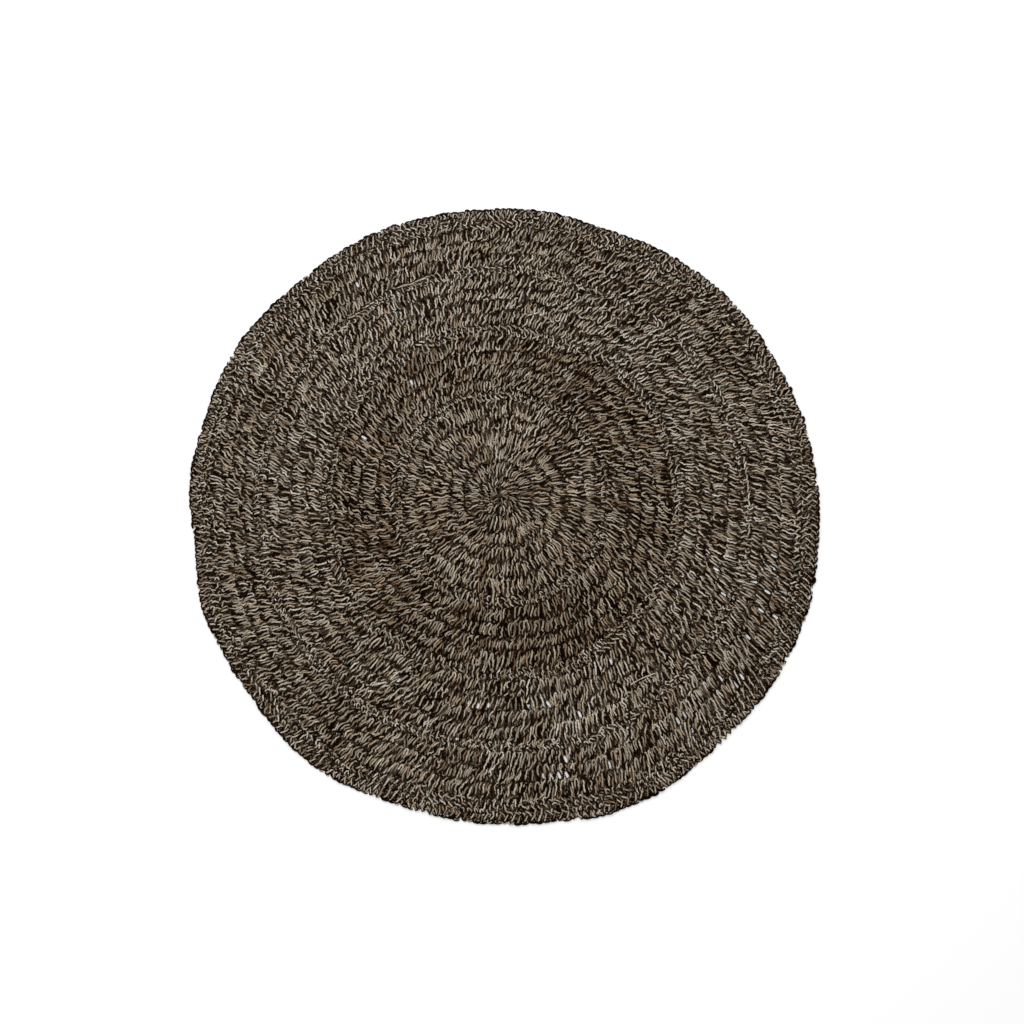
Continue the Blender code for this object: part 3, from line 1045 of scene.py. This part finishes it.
@dataclass
class StitchTree:
    """The node tree that turns points into lengths of strand and joins them.

    The settings are named inputs of the tree, and so are the reaches of the wanders.
    """

    middle: Vector
    forms: StitchForms
    materials: dict[Strand, bpy.types.Material]
    rows: StrandRows = StrandRows()
    wanders: tuple[Wander, ...] = (
        Wander("Slow Wander", 0.120, 0.0064, 0.0),
        Wander("Wander", 0.036, 0.0040, 1.0),
        Wander("Fine Wander", 0.026, 0.0060, 3.0),
    )
    settings: dict[str, float | int] = field(default_factory=lambda: {
        "Twist Width": -0.95, "Twist Height": 0.90, "Natural Rise": 0.27, "Lift": 0.0010,
        "Patches": 0.5, "Speckle": 0.78, "Sides": 3, "Seed": 3,
    })
    patch_spacing: float = 0.20
    patch_detail: float = 3.0
    patch_roughness: float = 0.7
    lightest: float = 0.999
    lift_range: tuple[float, float] = (-0.5, 1.0)
    start_range: tuple[float, float] = (0.0, 0.6)
    wander_seed_step: float = 10.0
    wander_shape: tuple[float, float, float] = (2.0, 2.0, 0.3)
    clearance: float = 0.0003
    flattening: float = 1.15
    unevenness: float = 0.35
    unevenness_scale: float = 90.0
    seam_drop: float = -0.25
    group: bpy.types.NodeTree | None = None
    nodes: NodeBuilder | None = None
    given: dict[str, Field] = field(default_factory=dict)

    def values(self) -> dict[str, object]:
        """Lists the tree's inputs but for its points.

        Returns:
            Each input's value by its name.
        """
        return {
            "Forms": self.forms.collection,
            **{wander.name: wander.reach for wander in self.wanders},
            **self.settings,
            "Natural": self.materials[Strand.NATURAL],
            "Black": self.materials[Strand.BLACK],
        }

    def build(self) -> None:
        """Makes the tree, with a named input for each value, of the value's own type."""
        self.group = bpy.data.node_groups.new("lay_stitches", "GeometryNodeTree")
        face = self.group.interface
        kinds = {name: type(value).__name__.capitalize() for name, value in self.values().items()}
        for name, kind in {"Geometry": "Geometry", **kinds}.items():
            face.new_socket(name, in_out="INPUT", socket_type=f"NodeSocket{kind}")
        face.new_socket("Geometry", in_out="OUTPUT", socket_type="NodeSocketGeometry")
        nodes = self.nodes = NodeBuilder(self.group)
        sockets = nodes.node("NodeGroupInput").outputs
        self.given = {socket.name: Field(nodes, socket) for socket in sockets}
        tubes = self.unwrap(self.swell(self.drift(self.twist(self.lay()))))
        tubes = nodes.add("GeometryNodeSetShadeSmooth", {"Geometry": tubes})
        tubes = nodes.add("GeometryNodeRealizeInstances", {"Geometry": tubes})
        inputs = {"Geometry": tubes, "Material": self.given["Natural"]}
        tubes = nodes.add("GeometryNodeSetMaterial", inputs)
        black = nodes.math("GREATER_THAN", self.read("black"), 0.5)
        inputs = {"Geometry": tubes, "Selection": black, "Material": self.given["Black"]}
        nodes.node("NodeGroupOutput", {0: nodes.add("GeometryNodeSetMaterial", inputs)})

    def read(self, name: str, kind: str = "FLOAT") -> Field:
        """Reads a named attribute of some data type."""
        return self.nodes.add("GeometryNodeInputNamedAttribute", {"Name": name}, data_type=kind)

    def store(
        self, shape: Field, name: str, value: Field, domain: str = "POINT", kind: str = "FLOAT"
    ) -> Field:
        """Stores a named attribute on a domain of a geometry, as some data type."""
        inputs = {"Geometry": shape, "Name": name, "Value": value}
        return self.nodes.add("GeometryNodeStoreNamedAttribute", inputs, domain=domain, data_type=kind)

    def chance(self, low: float, high: float, number: float) -> Field:
        """Gives each strand a random value from low to high, by the seed and a number added to it."""
        inputs = {2: low, 3: high, "Seed": self.given["Seed"] + number}
        return self.nodes.add("FunctionNodeRandomValue", inputs, 1, data_type="FLOAT")

    def lay(self) -> Field:
        """Lays a form at each point and gives each strand its tone, lift and start.

        Returns:
            The strands as curves.
        """
        nodes, given = self.nodes, self.given
        forms = {"Collection": given["Forms"], "Separate Children": True, "Reset Children": True}
        laid = nodes.add("GeometryNodeInstanceOnPoints", {
            "Points": given["Geometry"],
            "Instance": nodes.add("GeometryNodeCollectionInfo", forms),
            "Pick Instance": True,
            "Instance Index": self.read("form", "INT"),
            "Rotation": nodes.xyz(z=self.read("turn")),
            "Scale": self.read("size", "FLOAT_VECTOR"),
        })
        place = nodes.add("GeometryNodeInputPosition")
        patch = nodes.noise(place, 1.0 / self.patch_spacing, self.patch_detail, self.patch_roughness)
        speckle = self.chance(-0.5, 0.5, 0.0) * given["Speckle"]
        # The light attribute carries each strand's tone, with painted light across the rug and painted
        # shade on the wraps.
        tone = (patch - 0.5) * given["Patches"] + self.read("light") + speckle
        tone = nodes.math("MINIMUM", nodes.math("MAXIMUM", tone, 0.0), self.lightest)
        laid = self.store(laid, "tone", tone, "INSTANCE")
        lift = self.chance(*self.lift_range, 1.0) * given["Lift"]
        laid = self.store(laid, "lift", lift, "INSTANCE")
        laid = self.store(laid, "start", self.chance(*self.start_range, 2.0), "INSTANCE")
        return nodes.add("GeometryNodeRealizeInstances", {"Geometry": laid})

    def twist(self, strands: Field) -> Field:
        """Winds the two strands of each length of yarn round each other.

        Args:
            strands: The strands as curves, two in each place.

        Returns:
            The strands, wound.
        """
        nodes, given = self.nodes, self.given
        share = nodes.add("GeometryNodeSplineParameter", output="Factor")
        angle = nodes.math("MULTIPLY_ADD", share, self.read("twist"), self.read("phase")) * math.tau
        tangent = nodes.add("GeometryNodeInputTangent")
        side = nodes.vector_math("CROSS_PRODUCT", tangent, (0.0, 0.0, 1.0))
        side = nodes.vector_math("NORMALIZE", side)
        thick = self.read("thick")
        width = nodes.math("COSINE", angle) * given["Twist Width"] * thick
        rise = nodes.math("SINE", angle) * given["Twist Height"]
        sign = nodes.math("MULTIPLY_ADD", self.read("black"), -2.0, 1.0)
        rise = nodes.math("MULTIPLY_ADD", sign, given["Natural Rise"], rise) * thick
        offset = nodes.vector_math("ADD", nodes.scaled(side, width), nodes.xyz(z=rise))
        return nodes.add("GeometryNodeSetPosition", {"Geometry": strands, "Offset": offset})

    def drift(self, strands: Field) -> Field:
        """Moves the strands out of their ideal places, less so beside a see-through gap.

        Args:
            strands: The strands as curves.

        Returns:
            The strands, moved.
        """
        nodes, given = self.nodes, self.given
        place = nodes.add("GeometryNodeInputPosition")
        radius = nodes.vector_math("DISTANCE", place, self.middle, output=1)
        total = None
        for i, wander in enumerate(self.wanders):
            seed = given["Seed"] + self.wander_seed_step * i
            depth = nodes.math("MULTIPLY_ADD", radius, wander.outward, seed)
            inputs = {"Vector": place, "W": depth, "Scale": 1.0 / wander.spacing, "Detail": 0.0}
            cloud = nodes.add("ShaderNodeTexNoise", inputs, "Color", noise_dimensions="4D")
            moved = nodes.vector_math("SUBTRACT", cloud, (0.5, 0.5, 0.5))
            moved = nodes.vector_math("MULTIPLY", moved, self.wander_shape)
            moved = nodes.scaled(moved, given[wander.name])
            total = moved if total is None else nodes.vector_math("ADD", total, moved)
        held = nodes.scaled(total, self.read("free"))
        moved = nodes.vector_math("ADD", held, nodes.xyz(z=self.read("lift")))
        x, y, z = nodes.split(nodes.vector_math("ADD", place, moved))
        floor = nodes.math("MULTIPLY_ADD", self.read("thick"), 1.0 + self.unevenness, self.clearance)
        moved = nodes.xyz(x, y, nodes.math("MAXIMUM", z, floor))
        return nodes.add("GeometryNodeSetPosition", {"Geometry": strands, "Position": moved})

    def swell(self, strands: Field) -> Field:
        """Turns the strands into tubes.

        Args:
            strands: The strands as curves.

        Returns:
            The tubes.
        """
        nodes = self.nodes
        length = nodes.add("GeometryNodeSplineParameter", output="Length")
        strands = self.store(strands, "along", length / self.rows.unit + self.read("start"))
        strands = nodes.add("GeometryNodeSetCurveNormal", {"Curve": strands}, mode="Z_UP")
        uneven = nodes.noise(nodes.add("GeometryNodeInputPosition"), self.unevenness_scale, 0.0)
        uneven = nodes.math("MULTIPLY_ADD", uneven, 2.0 * self.unevenness, 1.0 - self.unevenness)
        circle = {"Resolution": self.given["Sides"], "Radius": 1.0}
        ring = nodes.add("GeometryNodeCurvePrimitiveCircle", circle)
        ring = self.store(ring, "around", nodes.add("GeometryNodeSplineParameter", output="Factor"))
        quarter, flat = (0.0, 0.0, 0.5 * math.pi), (1.0, self.flattening, 1.0)
        inputs = {"Geometry": ring, "Rotation": quarter, "Scale": flat}
        ring = nodes.add("GeometryNodeTransform", inputs)
        inputs = {"Curve": strands, "Profile Curve": ring, "Scale": self.read("thick") * uneven}
        return nodes.add("GeometryNodeCurveToMesh", {**inputs, "Fill Caps": True})

    def unwrap(self, tubes: Field) -> Field:
        """Lays the tubes out on the rows of the strands' UV map.

        Args:
            tubes: The tubes.

        Returns:
            The tubes with their UV map.
        """
        nodes, rows = self.nodes, self.rows
        around = self.read("around")
        inputs = {"Value": around}
        mean = nodes.add("GeometryNodeFieldOnDomain", inputs, domain="FACE", data_type="FLOAT")
        around = around + nodes.math("LESS_THAN", around - mean, self.seam_drop)
        tone = self.read("tone")
        natural_row = nodes.math("FLOOR", tone * rows.natural)
        black_row = nodes.math("FLOOR", tone * rows.black) + rows.natural
        row = natural_row + (black_row - natural_row) * self.read("black")
        level = (row + (around * rows.inside + rows.margin)) / rows.count
        place = nodes.xyz(self.read("along"), level)
        return self.store(tubes, UV_NAME, place, "CORNER", "FLOAT2")

    def apply(self, made: bpy.types.Object) -> None:
        """Adds the tree to an object as a modifier, with the values of its inputs.

        Args:
            made: The object whose points carry the stitches.
        """
        values = self.values()
        modifier = made.modifiers.new("lay_stitches", "NODES")
        modifier.node_group = self.group
        for socket in self.group.interface.items_tree:
            if socket.in_out == "INPUT" and socket.name in values:
                modifier[socket.identifier] = values[socket.name]


class Manner(NamedTuple):
    """How a kind of round is laid.

    Its strands are so thick and drift so freely, against those of tall stitches, and there are
    so many wraps to a post. Each pitch is the width of a stitch, up to the round of its number.
    """

    thickness: float
    freedom: float
    wraps: float
    pitches: tuple[tuple[int, float], ...]


MANNERS = {
    Worked.START: Manner(0.75, 0.3, 0.6, ((0, 0.0036),)),
    Worked.TALL: Manner(1.0, 1.0, 1.25, ((3, 0.0100), (8, 0.0116), (14, 0.0134), (27, 0.0150))),
    Worked.SHORT: Manner(0.88, 0.8, 0.8, ((8, 0.0120), (20, 0.0146), (27, 0.0154))),
    Worked.EDGE: Manner(0.86, 0.3, 2.1, ((27, 0.0154),)),
}


@dataclass
class StitchLayout:
    """Where each length of strand goes in a round.

    Pressed and wound give the strands' thickness and turns in the first rounds, and their last
    values hold further out. Alike gives how many lengths in a row share one form.
    """

    plan: RugPlan
    forms: StitchForms
    radius: dict[Strand, float] = field(default_factory=lambda: {
        Strand.NATURAL: 0.0018, Strand.BLACK: 0.0021,
    })
    pressed: tuple[float, ...] = (0.9, 0.80, 0.86, 0.92, 1.0)
    wound: tuple[float, ...] = (1.0, 1.25, 1.2, 1.1, 1.08)
    # Painted light: strands are painted lighter towards this bearing and darker away from it.
    light_side: float = 95.0
    light_tilt: float = 0.06
    alike: dict[Run, tuple[int, int]] = field(default_factory=lambda: {
        Run.POST: (2, 5), Run.WRAP: (1, 2),
    })
    # Each run's tone: the wraps, lying lower behind the posts, are painted darker than the posts, a
    # painted shade; the loose straw is lighter.
    lights: dict[Run, float] = field(default_factory=lambda: {
        Run.POST: 0.62, Run.WRAP: 0.46, Run.LOOSE: 0.95,
    })
    lean_wander: float = 9.0
    lean_spacing: float = 0.16
    lean_jitter: float = 3.5
    pitch_jitter: float = 0.04
    height_jitter: float = 0.13
    turns_jitter: float = 0.06
    phase_jitter: float = 0.135
    width_range: tuple[float, float] = (0.9, 1.1)
    thickness_range: tuple[float, float] = (0.88, 1.16)
    first_foot: float = 0.012
    wrap_aside: float = 0.5
    full_from: float = 3.0
    ease_at_start: float = 0.4
    straw_width: float = 0.25
    gap_reach: float = 0.034
    gap_side: float = 0.0054
    held_within: float = 0.016
    free_beyond: float = 0.070
    seed: int = 7

    @staticmethod
    def at_round(values: tuple[float, ...], number: int) -> float:
        """Gives a round's value, of which the last one holds for all rounds further out."""
        return values[min(number, len(values) - 1)]

    def lean_at(self, work: Round, bearing: float) -> float:
        """Gives how many degrees the posts of a round lean, with the outer end clockwise below 0."""
        place = self.plan.place(work.outer, bearing) / self.lean_spacing
        return work.lean + self.lean_wander * noise.noise(place)

    def clear_of_gaps(self, work: Round, bearing: float, lean: float) -> tuple[float, float]:
        """Moves a strand aside where it would cross a see-through gap.

        Args:
            work: The round.
            bearing: The strand's bearing at its foot.
            lean: The strand's lean.

        Returns:
            The strand's new bearing and lean.
        """
        for gap in self.plan.gaps_in(work):
            rim = self.plan.rim_radius(gap.bearing)
            radius = gap.share * rim
            shift = (gap.share - work.inner) * rim * math.tan(math.radians(gap.lean))
            away = math.radians(turn_between(gap.bearing, bearing)) * radius + shift
            if abs(away) < self.gap_reach:
                near = 1.0 - abs(away) / self.gap_reach
                moved = away + math.copysign(self.gap_side * near, away)
                bearing = gap.bearing + math.degrees((moved - shift) / radius)
                lean += near * (gap.lean - lean)
        return bearing, lean

    def freedom(self, place: Vector, gap_places: list[Vector]) -> float:
        """Gives how much a strand may drift: none beside a gap, fully further off.

        Args:
            place: The strand's place.
            gap_places: The middles of all gaps.

        Returns:
            A share from 0 to 1.
        """
        nearest = min((place - other).length for other in gap_places)
        share = (nearest - self.held_within) / (self.free_beyond - self.held_within)
        share = min(max(share, 0.0), 1.0)
        return share * share * (3.0 - 2.0 * share)

    def lay_round(self, work: Round, gap_places: list[Vector]) -> list[Placed]:
        """Lays the strands of one round.

        Args:
            work: The round.
            gap_places: The middles of all gaps.

        Returns:
            The placed strands.
        """
        plan = self.plan
        manner = MANNERS[work.worked]
        chance = random.Random(self.seed + work.number)
        if work.number == 1:
            work = work._replace(inner=work.inner + self.first_foot / plan.mean_radius)
        pitch = next(width for last, width in manner.pitches if work.number <= last)
        half_way = 0.5 * (work.inner + work.outer)
        count = round(math.tau * half_way * plan.worked_radius() / pitch)
        begin = chance.uniform(0.0, 360.0)
        press = self.at_round(self.pressed, work.number) * manner.thickness
        wind = self.at_round(self.wound, work.number)
        full = min(1.0, work.number / self.full_from)
        ease = self.ease_at_start + (1.0 - self.ease_at_start) * full
        wraps = manner.wraps * (full if work.worked is Worked.TALL else 1.0)
        made = []
        for run, lengths in ((Run.POST, 1.0), (Run.WRAP, wraps)):
            numbers, weights = self.forms.numbers(work.worked, run)
            left = 0
            for length in range(round(count * lengths)):
                stitch = math.floor(length / lengths) + chance.gauss(0.0, self.pitch_jitter)
                bearing = begin + 360.0 * stitch / count
                lean = self.lean_at(work, bearing) + chance.gauss(0.0, self.lean_jitter)
                # Painted light: the tone is tilted lighter towards one side of the rug, as the light
                # falls.
                tilt = self.light_tilt * math.cos(math.radians(bearing - self.light_side))
                aside = self.wrap_aside * pitch if run is Run.WRAP else 0.0
                aside = math.degrees(aside / (work.outer * plan.rim_radius(bearing)))
                bearing, lean = self.clear_of_gaps(work, bearing + aside, lean)
                bearing -= aside
                if left == 0:
                    number = chance.choices(numbers, weights)[0]
                    left = chance.randint(*self.alike[run])
                left -= 1
                form = self.forms.forms[number]
                free = self.freedom(plan.place(half_way, bearing), gap_places)
                height = (work.outer - work.inner) * plan.rim_radius(bearing)
                height /= math.cos(math.radians(lean))
                size = Vector((pitch * chance.uniform(*self.width_range), height, 1.0))
                size.y *= chance.gauss(1.0, self.height_jitter * manner.freedom)
                twist = form.turns * wind * chance.gauss(1.0, self.turns_jitter)
                phase = TOP_PHASE - form.crest * twist + chance.gauss(0.0, self.phase_jitter)
                for strand in form.strands:
                    black = float(strand is Strand.BLACK)
                    made.append(Placed(
                        place=plan.place(work.inner, bearing),
                        turn=math.radians(bearing + lean - FORM_BEARING),
                        size=size,
                        form=self.forms.curve_of(number, strand),
                        thick=self.radius[strand] * press * chance.uniform(*self.thickness_range),
                        free=free * manner.freedom * ease,
                        black=black,
                        light=self.lights[run] + work.light + tilt,
                        twist=twist,
                        phase=phase + HALF_TURN * black,
                    ))
        made.extend(self.lay_straw(straw) for straw in plan.straws if straw.round_number == work.number)
        return made

    def lay_straw(self, straw: Straw) -> Placed:
        """Lays a loose straw.

        Args:
            straw: The straw.

        Returns:
            The placed straw.
        """
        number = self.forms.numbers(Worked.TALL, Run.LOOSE)[0][0]
        return Placed(
            place=self.plan.middle + straw.radius * pointing(straw.bearing),
            turn=math.radians(straw.heading - FORM_BEARING),
            size=Vector((self.straw_width * straw.length, straw.length, 1.0)),
            form=self.forms.curve_of(number, Strand.NATURAL),
            thick=0.5 * straw.thickness,
            free=0.0,
            black=0.0,
            light=self.lights[Run.LOOSE],
            twist=0.0,
            phase=TOP_PHASE,
        )


@dataclass
class StitchBand:
    """Some neighbouring rounds of stitches, joined into one mesh."""

    name: str
    first: int
    last: int
    layout: StitchLayout
    tree: StitchTree

    def points(self, placed: list[Placed]) -> bpy.types.Mesh:
        """Makes a mesh of points that carry the strands' places.

        Args:
            placed: The placed strands.

        Returns:
            The mesh.
        """
        mesh = bpy.data.meshes.new(self.name)
        mesh.from_pydata([p.place for p in placed], [], [])
        for name in STRAND_NUMBERS:
            values = [getattr(p, name) for p in placed]
            mesh.attributes.new(name, "FLOAT", "POINT").data.foreach_set("value", values)
        mesh.attributes.new("form", "INT", "POINT").data.foreach_set("value", [p.form for p in placed])
        sizes = [value for p in placed for value in p.size]
        mesh.attributes.new("size", "FLOAT_VECTOR", "POINT").data.foreach_set("vector", sizes)
        return mesh

    def build(self, works: list[Round], gap_places: list[Vector]) -> bpy.types.Object:
        """Makes the band.

        Args:
            works: All the rounds.
            gap_places: The middles of all gaps.

        Returns:
            The band's object, a plain mesh.
        """
        placed = []
        for work in works[self.first : self.last + 1]:
            placed.extend(self.layout.lay_round(work, gap_places))
        band = add_object(self.name, self.points(placed))
        self.tree.apply(band)
        bake_modifiers(band)
        attributes = band.data.attributes
        for name in WORKING_NAMES:
            if name in attributes:
                attributes.remove(attributes[name])
        return band


@dataclass
class Studio:
    """A plain white floor, soft light from all round and the photograph's viewpoint."""

    plan: RugPlan
    tilt: float = 11.4
    distance: float = 2.475
    lens: float = 36.3
    sensor: float = 36.0
    aim_right: float = 0.031
    aim_down: float = 0.038
    floor_size: float = 60.0
    world_strength: float = 0.73
    key_power: float = 108.0
    key_size: float = 3.0
    key_place: tuple[float, float, float] = (-0.35, 0.55, 3.9)

    def build(self) -> None:
        """Makes the floor, the lights, the world and the camera."""
        self.build_floor()
        self.build_lights()
        self.build_camera()
        scene = bpy.context.scene
        scene.view_settings.view_transform = "Standard"
        scene.view_settings.look = "None"

    def build_floor(self) -> None:
        """Makes the floor, which isn't part of the rug."""
        mesh = bmesh.new()
        bmesh.ops.create_grid(mesh, x_segments=1, y_segments=1, size=0.5 * self.floor_size)
        floor = add_object("floor", mesh_from(mesh, "floor"))
        floor.data.materials.append(FloorFinish().material())

    def build_lights(self) -> None:
        """Makes an even white world and one large soft light."""
        world = bpy.data.worlds.new("studio")
        world.use_nodes = True
        background = world.node_tree.nodes["Background"]
        background.inputs["Color"].default_value = (1.0, 1.0, 1.0, 1.0)
        background.inputs["Strength"].default_value = self.world_strength
        bpy.context.scene.world = world
        light = bpy.data.lights.new("key_light", "AREA")
        light.energy = self.key_power
        light.size = self.key_size
        key = add_object("key_light", light)
        key.location = self.key_place
        key.rotation_mode = "QUATERNION"
        key.rotation_quaternion = (-key.location).to_track_quat("-Z", "Y")

    def build_camera(self) -> None:
        """Looks down from the near side at the photograph's angle."""
        camera_data = bpy.data.cameras.new("camera")
        camera_data.lens = self.lens
        camera_data.sensor_width = self.sensor
        camera_data.dof.use_dof = False
        camera = add_object("camera", camera_data)
        tilt = math.radians(self.tilt)
        target = self.plan.middle + Vector((self.aim_right, -self.aim_down, 0.0))
        back = Vector((0.0, -math.sin(tilt), math.cos(tilt)))
        camera.location = target + self.distance * back
        camera.rotation_mode = "QUATERNION"
        camera.rotation_quaternion = (-back).to_track_quat("-Z", "Y")
        bpy.context.scene.camera = camera


BANDS = (
    ("stitches_middle", 0, 8),
    ("stitches_second", 9, 14),
    ("stitches_third", 15, 18),
    ("stitches_third_ridge", 19, 20),
    ("stitches_fourth", 21, 23),
    ("stitches_rim_ridge", 24, 25),
    ("stitches_rim", 26, 27),
)


def report_piece(made: bpy.types.Object) -> None:
    """Logs a piece's name and its number of triangles."""
    triangles = sum(len(face.vertices) - 2 for face in made.data.polygons)
    log.info("%s: %d triangles", made.name, triangles)


def main() -> None:
    """Builds the studio, the ground sheet and the bands of stitches."""
    logging.basicConfig(level=logging.INFO, format="%(message)s", stream=sys.stdout)
    plan = RugPlan()
    Studio(plan).build()
    sheet = GroundSheet(plan)
    ground = sheet.build()
    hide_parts(NODE)
    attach(ground, BODY)
    report_piece(ground)
    works = plan.rounds()
    gap_places = [plan.place(g.share, g.bearing) for work in works for g in plan.gaps_in(work)]
    forms = StitchForms()
    forms.build()
    materials = {Strand.NATURAL: NATURAL_FINISH.material(), Strand.BLACK: BLACK_FINISH.material()}
    tree = StitchTree(plan.middle, forms, materials)
    tree.build()
    layout = StitchLayout(plan, forms)
    for name, first, last in BANDS:
        band = StitchBand(name, first, last, layout, tree).build(works, gap_places)
        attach(band, BODY)
        report_piece(band)
    forms.remove()


if __name__ == "__main__":
    main()
